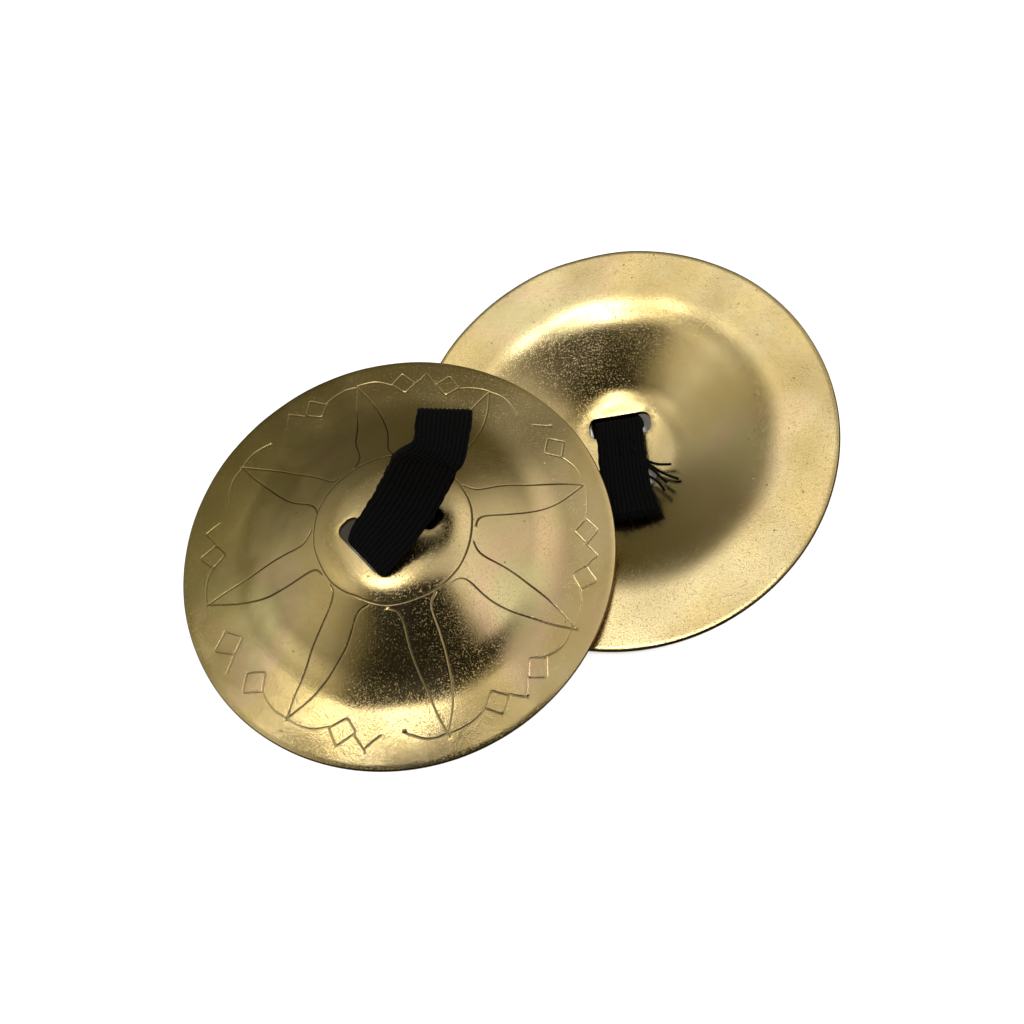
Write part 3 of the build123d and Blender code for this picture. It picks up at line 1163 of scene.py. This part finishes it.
class Bench:
    """The node tree of a material or a world, and the few tools that finishes share."""

    def __init__(self, owner: bpy.types.Material | bpy.types.World) -> None:
        """Empties the owner's tree.

        Args:
            owner: the new material or world.
        """
        self.owner = owner
        owner.use_nodes = True
        self.tree = owner.node_tree
        self.tree.nodes.clear()

    @classmethod
    def material(cls, name: str) -> "Bench":
        """Starts a new material."""
        return cls(bpy.data.materials.new(name))

    def add(self, kind: str, settings: dict | None = None,
            sockets: dict | None = None) -> bpy.types.Node:
        """Adds a node, sets its settings and then its sockets.

        Args:
            kind: the node's type.
            settings: values of the node's own properties.
            sockets: values, Numbers or output sockets by input name or index.

        Returns:
            The node.
        """
        node = self.tree.nodes.new(kind)
        for key, value in (settings or {}).items():
            setattr(node, key, value)
        for key, value in (sockets or {}).items():
            if isinstance(value, Number):
                value = value.socket
            if isinstance(value, bpy.types.NodeSocket):
                self.tree.links.new(value, node.inputs[key])
            else:
                node.inputs[key].default_value = value
        return node

    def place(self, name: str) -> bpy.types.NodeSocket:
        """A piece's own vector mark."""
        return self.add("ShaderNodeAttribute", {"attribute_name": name}).outputs["Vector"]

    def mark(self, name: str) -> Number:
        """A piece's own number mark."""
        node = self.add("ShaderNodeAttribute", {"attribute_name": name})
        return Number(self, node.outputs["Fac"])

    def stretched(self, vector: bpy.types.NodeSocket, scale: tuple,
                  turn: float = 0.0) -> bpy.types.NodeSocket:
        """Coordinates turned about the third axis and scaled."""
        node = self.add("ShaderNodeMapping", {"vector_type": "TEXTURE"},
                        {"Vector": vector, "Rotation": (0.0, 0.0, turn),
                         "Scale": tuple(1 / s for s in scale)})
        return node.outputs["Vector"]

    def noise(self, vector: bpy.types.NodeSocket, scale: float, detail: float = 2.0,
              rough: float = 0.5, twist: float = 0.0) -> Number:
        """Soft noise between 0 and 1."""
        node = self.add("ShaderNodeTexNoise", {},
                        {"Vector": vector, "Scale": scale, "Detail": detail,
                         "Roughness": rough, "Distortion": twist})
        return Number(self, node.outputs["Fac"])

    def spots(self, vector: bpy.types.NodeSocket, scale: float) -> Number:
        """Distance to the nearest of many scattered points."""
        node = self.add("ShaderNodeTexVoronoi", {}, {"Vector": vector, "Scale": scale})
        return Number(self, node.outputs["Distance"])

    def mix(self, factor: object, first: object, second: object) -> bpy.types.NodeSocket:
        """Mixes two colours."""
        node = self.add("ShaderNodeMix", {"data_type": "RGBA"}, {0: factor, 6: first, 7: second})
        return node.outputs[2]

    def bump(self, height: Number, distance: float, strength: float,
             below: bpy.types.NodeSocket | None = None) -> bpy.types.NodeSocket:
        """Bump from a height, on top of another bump."""
        sockets = {"Height": height, "Distance": distance, "Strength": strength}
        if below is not None:
            sockets["Normal"] = below
        return self.add("ShaderNodeBump", {}, sockets).outputs["Normal"]

    def finish(self, sockets: dict) -> bpy.types.Material:
        """Adds the shader with these inputs and its output."""
        shader = self.add("ShaderNodeBsdfPrincipled", {}, sockets)
        self.add("ShaderNodeOutputMaterial", {}, {"Surface": shader.outputs[0]})
        return self.owner


@dataclass(frozen=True)
class BrassFinish:
    """Satin brass with handling scratches, pits, faint heat colours and dark grooves, plus painted
    shade on the rim and in the slot walls.
    """

    name: str
    tint: float
    olive_share: float
    clean: tuple = (0.82, 0.66, 0.345, 1)
    deep: tuple = (0.72, 0.55, 0.235, 1)
    olive: tuple = (0.33, 0.255, 0.075, 1)
    rose: tuple = (0.82, 0.585, 0.37, 1)
    green: tuple = (0.68, 0.64, 0.33, 1)
    dark: tuple = (0.085, 0.045, 0.018, 1)
    slot_wall_shade: tuple = (0.20, 0.085, 0.055, 1)
    roughness: float = 0.155

    def material(self) -> bpy.types.Material:
        """Builds the brass."""
        bench = Bench.material(self.name)
        place = bench.place("place")
        cloud = bench.noise(place, 0.07, 3, 0.55)
        patch = bench.noise(place, 0.16, 2, 0.5, 0.6)
        band = bench.noise(place, 0.045, 1, 0.5, 0.4)
        grain = bench.noise(bench.stretched(place, (1.0, 7.0, 1.0), 0.5), 2.6, 3, 0.65)
        cross = bench.noise(bench.stretched(place, (6.0, 1.0, 1.0), 0.15), 2.2, 3, 0.65)
        speck = bench.noise(place, 5.5, 3, 0.7)
        pits = bench.spots(place, 0.85).between(0.05, 0.11, 1.0, 0.0)
        pits = pits * bench.noise(place, 0.6, 1).between(0.5, 0.62)
        colour = bench.mix(cloud.between(0.35, 0.65), self.deep, self.clean)
        rose = band.between(0.52, 0.60) * (1 - band.between(0.60, 0.70)) * self.tint
        green = band.between(0.60, 0.68) * (1 - band.between(0.70, 0.80)) * self.tint
        colour = bench.mix(rose, colour, self.rose)
        colour = bench.mix(green, colour, self.green)
        split = bench.add("ShaderNodeSeparateXYZ", {}, {0: place})
        u, v = (Number(bench, split.outputs[k]) for k in (0, 1))
        # olive over the side of the disc towards +v and -u, its border broken up by noise
        olive_side = (v * 0.75 - u * 0.45 + patch * 14.0).between(12.0, 27.0) * self.olive_share
        colour = bench.mix(olive_side, colour, self.olive)
        groove, wall, edge = (bench.mark(name) for name in ("groove", "wall", "edge"))
        apart = bench.add("ShaderNodeVectorMath", {"operation": "LENGTH"}, {0: place})
        worn = Number(bench, apart.outputs["Value"]).between(18.0, 25.0, 1.0, 0.55)
        soot = groove.between(0.1, 0.6) * cloud.between(0.38, 0.6, 0.6, 0.95) * worn
        colour = bench.mix(soot, colour, self.dark)
        # painted shade: the rounded rim's rows are darkened towards the dark brown
        colour = bench.mix(edge.between(0.3, 1.0, 0.0, 0.75), colour, self.dark)
        # painted shade: the middle of each slot wall is darkened to a deep wine brown
        colour = bench.mix(wall.between(0.1, 1.0, 0.0, 0.85), colour, self.slot_wall_shade)
        colour = bench.mix(pits * 0.55, colour, self.dark)
        rough = (self.roughness + (grain - 0.5) * 0.1 + (patch - 0.5) * 0.1
                 + speck.between(0.45, 0.75, 0.0, 0.06) + groove * 0.25 + olive_side * 0.04)
        sparse = speck.between(0.56, 0.78)
        relief = bench.bump(grain * 0.5 + cross * 0.5 + speck * 0.3 + sparse * 1.1, 0.00003, 0.42)
        relief = bench.bump(1 - pits, 0.00004, 0.6, relief)
        return bench.finish({"Base Color": colour, "Metallic": 1.0, "Roughness": rough,
                             "Normal": relief})


@dataclass(frozen=True)
class ElasticFinish:
    """Black braided elastic: dull yarn over ribs, darker between them."""

    name: str = "braided_elastic"
    yarn: tuple = (0.0022, 0.0021, 0.0022, 1)
    worn: tuple = (0.0045, 0.0044, 0.0045, 1)
    shade: tuple = (0.0008, 0.0008, 0.0008, 1)

    def material(self) -> bpy.types.Material:
        """Builds the elastic."""
        bench = Bench.material(self.name)
        weave = bench.place("weave")
        valley = bench.mark("valley")
        fuzz = bench.noise(weave, 9.0, 3, 0.7)
        twill = bench.noise(bench.stretched(weave, (6.0, 1.4, 1.0), 0.7), 1.6, 2, 0.6)
        colour = bench.mix(fuzz.between(0.45, 0.8), self.yarn, self.worn)
        colour = bench.mix(valley.between(0.25, 0.9), colour, self.shade)
        relief = bench.bump(fuzz * 0.5 + twill, 0.00008, 0.8)
        return bench.finish({"Base Color": colour, "Roughness": twill.between(0, 1, 0.75, 0.95),
                             "Specular IOR Level": 0.08, "Sheen Weight": 0.004,
                             "Sheen Roughness": 0.5, "Normal": relief})


@dataclass(frozen=True)
class ThreadFinish:
    """Black sewing thread and loose yarn."""

    name: str = "black_thread"
    yarn: tuple = (0.0018, 0.0018, 0.0018, 1)
    worn: tuple = (0.0045, 0.0043, 0.0043, 1)

    def material(self) -> bpy.types.Material:
        """Builds the thread."""
        bench = Bench.material(self.name)
        spot = bench.add("ShaderNodeTexCoord").outputs["Object"]
        fuzz = bench.noise(spot, 6000.0, 2, 0.6)
        colour = bench.mix(fuzz.between(0.4, 0.8), self.yarn, self.worn)
        relief = bench.bump(fuzz, 0.00004, 0.7)
        return bench.finish({"Base Color": colour, "Roughness": fuzz.between(0, 1, 0.6, 0.9),
                             "Specular IOR Level": 0.08, "Normal": relief})


# ----------------------------------------------------------------------------- studio


@dataclass(frozen=True)
class SoftLight:
    """A round soft patch of light, far away.

    Its heading is in degrees from +X and its tilt in degrees from straight up. Its
    brightness falls off with the exponential of focus times the cosine's shortfall.
    """

    heading: float
    tilt: float
    focus: float
    strength: float
    colour: tuple

    def direction(self) -> tuple:
        """Unit vector towards the light."""
        turn, tilt = math.radians(self.heading), math.radians(self.tilt)
        return (math.sin(tilt) * math.cos(turn), math.sin(tilt) * math.sin(turn), math.cos(tilt))


@dataclass(frozen=True)
class Studio:
    """Pale floor, soft lights, the dark card round the lens and the camera."""

    lens: float = 29.11
    eye: tuple = (0.83, -53.08, 95.64)
    azimuth: float = math.radians(0.58)
    elevation: float = math.radians(60.52)
    roll: float = math.radians(1.88)
    card_size: tuple = (0.122, 0.098)
    card_shift: tuple = (-0.016, -0.0315)
    card_back: float = 0.004
    floor_half: float = 3.0
    floor_drop: float = 0.00005
    lamp_strength: float = 3.1
    lamp_angle: float = math.radians(14)
    lamp_rise: float = 0.45
    backdrop: tuple = (0.93, 0.93, 0.93)
    room: tuple = (0.075, 0.068, 0.034)
    soft_lights: tuple = (
        SoftLight(35, 33, 13.0, 0.88, (1.0, 0.95, 0.9)),
        SoftLight(-30, 5, 50.0, 0.32, (1.0, 0.97, 0.93)),
        SoftLight(158, 23, 38.0, 1.22, (0.99, 0.98, 1.0)),
        SoftLight(-29, 50, 14.0, 1.15, (1.0, 0.95, 0.93)),
        SoftLight(178, 72, 6.0, 0.38, (1.0, 0.98, 0.92)),
        SoftLight(-163, 52, 40.0, 0.62, (1.0, 0.97, 0.9)),
        SoftLight(-163, 21, 300.0, 11.0, (1.0, 0.98, 0.97)),
        SoftLight(-136, 29, 200.0, 9.0, (1.0, 0.98, 0.95)),
    )

    def axes(self) -> tuple[Vector, Vector, Vector]:
        """Directions of the camera's right, its top and its view."""
        sin_a, cos_a = math.sin(self.azimuth), math.cos(self.azimuth)
        sin_e, cos_e = math.sin(self.elevation), math.cos(self.elevation)
        forward = Vector((cos_e * sin_a, cos_e * cos_a, -sin_e))
        level = Vector((cos_a, -sin_a, 0))
        rise = level.cross(forward)
        right = level * math.cos(self.roll) + rise * math.sin(self.roll)
        top = rise * math.cos(self.roll) - level * math.sin(self.roll)
        return right, top, forward

    def camera(self) -> None:
        """Sets up the scene's camera."""
        right, top, forward = self.axes()
        data = bpy.data.cameras.new("camera")
        data.lens, data.sensor_width = self.lens, 36.0
        data.clip_start, data.clip_end = 0.005, 50
        camera = add_object("camera", data)
        turn = Matrix((right, top, -forward)).transposed().to_4x4()
        camera.matrix_world = Matrix.Translation(Vector(self.eye) * MM) @ turn
        bpy.context.scene.camera = camera

    def sheet(self, name: str, middle: Vector, x: Vector, y: Vector,
              look: dict) -> bpy.types.Object:
        """Adds a flat four-sided helper.

        Args:
            name: the object's name.
            middle: its middle.
            x: half of one side.
            y: half of the next side.
            look: the shader's inputs.
        """
        corners = [middle - x - y, middle + x - y, middle + x + y, middle - x + y]
        mesh = bpy.data.meshes.new(name)
        mesh.from_pydata(corners, [], [(0, 1, 2, 3)])
        mesh.materials.append(Bench.material(name).finish(look))
        made = add_object(name, mesh)
        return made

    def card(self) -> None:
        """Adds the dark card round the lens, which only reflections see."""
        right, top, forward = self.axes()
        middle = (Vector(self.eye) * MM - forward * self.card_back
                  + right * self.card_shift[0] + top * self.card_shift[1])
        card = self.sheet("lens_card", middle, right * self.card_size[0] / 2,
                          top * self.card_size[1] / 2,
                          {"Base Color": (0.008, 0.008, 0.008, 1), "Roughness": 0.9,
                           "Specular IOR Level": 0.1})
        card.visible_camera = False
        card.visible_shadow = False
        card.visible_diffuse = False

    def floor(self) -> None:
        """Adds the pale floor."""
        half = self.floor_half
        floor = self.sheet("floor", Vector(), Vector((half, 0, 0)), Vector((0, half, 0)),
                           {"Base Color": (0.9, 0.9, 0.9, 1), "Roughness": 0.7,
                            "Specular IOR Level": 0.1,
                            "Emission Color": (0.96, 0.97, 1.0, 1.0),
                            "Emission Strength": 0.03})
        floor.location.z = -self.floor_drop
        floor.visible_glossy = False

    def floor_light(self) -> None:
        """Adds the lamp behind the camera, which lights the floor and shows in no metal."""
        light = bpy.data.lights.new("floor_lamp", "SUN")
        light.energy, light.angle = self.lamp_strength, self.lamp_angle
        lamp = add_object("floor_lamp", light)
        back = Vector((0, 0, self.lamp_rise)) - self.axes()[2]
        lamp.rotation_euler = back.to_track_quat("Z", "Y").to_euler()
        lamp.visible_glossy = False

    def surroundings(self) -> None:
        """Lights the scene with a dim warm room and its soft lights."""
        bench = Bench(bpy.data.worlds.new("studio"))
        way = bench.add("ShaderNodeTexCoord").outputs["Generated"]

        def background(colour: tuple, strength: object = 1.0) -> bpy.types.NodeSocket:
            """Even light of one colour."""
            node = bench.add("ShaderNodeBackground", {},
                             {"Color": (*colour, 1), "Strength": strength})
            return node.outputs[0]

        total = background(self.room)
        for light in self.soft_lights:
            dot = bench.add("ShaderNodeVectorMath", {"operation": "DOT_PRODUCT"},
                            {0: way, 1: light.direction()})
            shortfall = Number(bench, dot.outputs["Value"]) - 1.0
            power = Number(bench, bench.add("ShaderNodeMath", {"operation": "EXPONENT"},
                                            {0: shortfall * light.focus}).outputs[0])
            patch = background(light.colour, power * light.strength)
            total = bench.add("ShaderNodeAddShader", {}, {0: total, 1: patch}).outputs[0]
        seen = bench.add("ShaderNodeLightPath").outputs["Is Camera Ray"]
        total = bench.add("ShaderNodeMixShader", {},
                          {0: seen, 1: total, 2: background(self.backdrop)}).outputs[0]
        bench.add("ShaderNodeOutputWorld", {}, {"Surface": total})
        bpy.context.scene.world = bench.owner

    def build(self) -> None:
        """Sets the whole studio."""
        bpy.context.scene.view_settings.view_transform = "Standard"
        self.surroundings()
        self.floor_light()
        self.camera()
        self.card()
        self.floor()


# ------------------------------------------------------------------------------ main


@dataclass(frozen=True)
class Half:
    """What one cymbal of the pair has of its own.

    The bend gives two distances from the hinge along the loop's way; nothing bends the strap
    there.
    """

    name: str
    hinge: str
    shift: tuple
    seed: int
    brass: BrassFinish
    sewing_seed: int
    cut_end: tuple
    frays: int
    bend: tuple
    tails: tuple = ()


UPPER = Half("upper", "upper_loop_lean", (0.5, -0.5), 11,
             BrassFinish("brass_upper", 0.55, 0.85), 41, (7.4, 4.35, 3.0), 70, (0.5, 6.5))
LOWER = Half("lower", "lower_loop_fold", (-0.45, -0.55), 29,
             BrassFinish("brass_lower", 0.3, 0.0), 53, (9.7, 3.2, 3.55), 230, (3.0, 7.5), (
                 ((2.2, -2.6, 4.1), (2.7, -3.6, 4.3), (3.2, -4.6, 4.4), (3.3, -6.2, 4.5)),
                 ((2.4, -2.6, 4.1), (3.2, -3.7, 4.5), (4.4, -5.0, 4.6), (5.4, -6.9, 4.7)),
                 ((3.0, -2.6, 4.1), (3.6, -3.8, 4.3), (4.9, -4.6, 4.4), (5.8, -5.4, 4.2)),
                 ((4.4, -2.8, 4.1), (5.0, -3.8, 4.2), (6.0, -4.6, 4.0), (7.0, -5.0, 3.9))))


class Pair:
    """Both cymbals with their straps and threads."""

    def __init__(self) -> None:
        """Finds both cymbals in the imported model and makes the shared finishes."""
        self.hinge_level = SheetProfile().crown_height + PIVOT_RISE
        self.placements = {
            half.name: Placement.of_cymbal(f"{half.name}_disc", half.hinge, self.hinge_level)
            for half in (UPPER, LOWER)}
        self.elastic, self.thread = ElasticFinish().material(), ThreadFinish().material()

    @staticmethod
    def dress(piece: bpy.types.Object, material: bpy.types.Material, slot: str) -> None:
        """Gives a piece its material and logs its vertex and face counts."""
        piece.data.materials.append(material)
        LOG.info("%s: %d vertices, %d faces", piece.name, len(piece.data.vertices),
                 len(piece.data.polygons))

    def disc(self, half: Half) -> None:
        """Builds one brass disc."""
        disc = Cymbal(f"{half.name}_engraved_disc", self.placements[half.name],
                      Engraving(half.seed), half.seed + 1, bell_shift=half.shift).build()
        self.dress(disc, half.brass.material(), "brass")
        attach(disc, f"{half.name}_cymbal")
        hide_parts(f"{half.name}_disc")

    def strap(self, half: Half, kind: type[FingerStrap]) -> None:
        """Builds one strap; the two points of its bend are worked out but nothing bends it.

        Args:
            half: the strap's cymbal.
            kind: the class that knows the strap's route.
        """
        strap = kind(f"{half.name}_elastic_strap", Weave(), self.placements[half.name],
                     half.shift, self.hinge_level)
        band = strap.band(strap.route())
        self.dress(band, self.elastic, "elastic")
        start, end = ((strap.pivot() + strap.loop_way() * reach) * MM for reach in half.bend)
        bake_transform(band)
        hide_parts(f"{half.name}_strap_ends", f"{half.name}_finger_loop")

    def sewing(self, half: Half) -> None:
        """Builds one cymbal's stitches and loose yarns."""
        sewing = Threads(f"{half.name}_sewing", self.placements[half.name], half.sewing_seed,
                         half.cut_end, half.frays, half.shift, half.tails).build()
        self.dress(sewing, self.thread, "thread")
        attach(sewing, f"{half.name}_cymbal")
        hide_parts(f"{half.name}_stitching")

    def build(self) -> None:
        """Builds the discs, the straps and the sewing."""
        for half in (UPPER, LOWER):
            self.disc(half)
        self.strap(UPPER, UpperStrap)
        self.strap(LOWER, LowerStrap)
        for half in (UPPER, LOWER):
            self.sewing(half)


def main() -> None:
    """Builds the pair and its studio."""
    logging.basicConfig(level=logging.INFO, format="%(name)s: %(message)s")
    Pair().build()
    Studio().build()


if __name__ == "__main__":
    main()
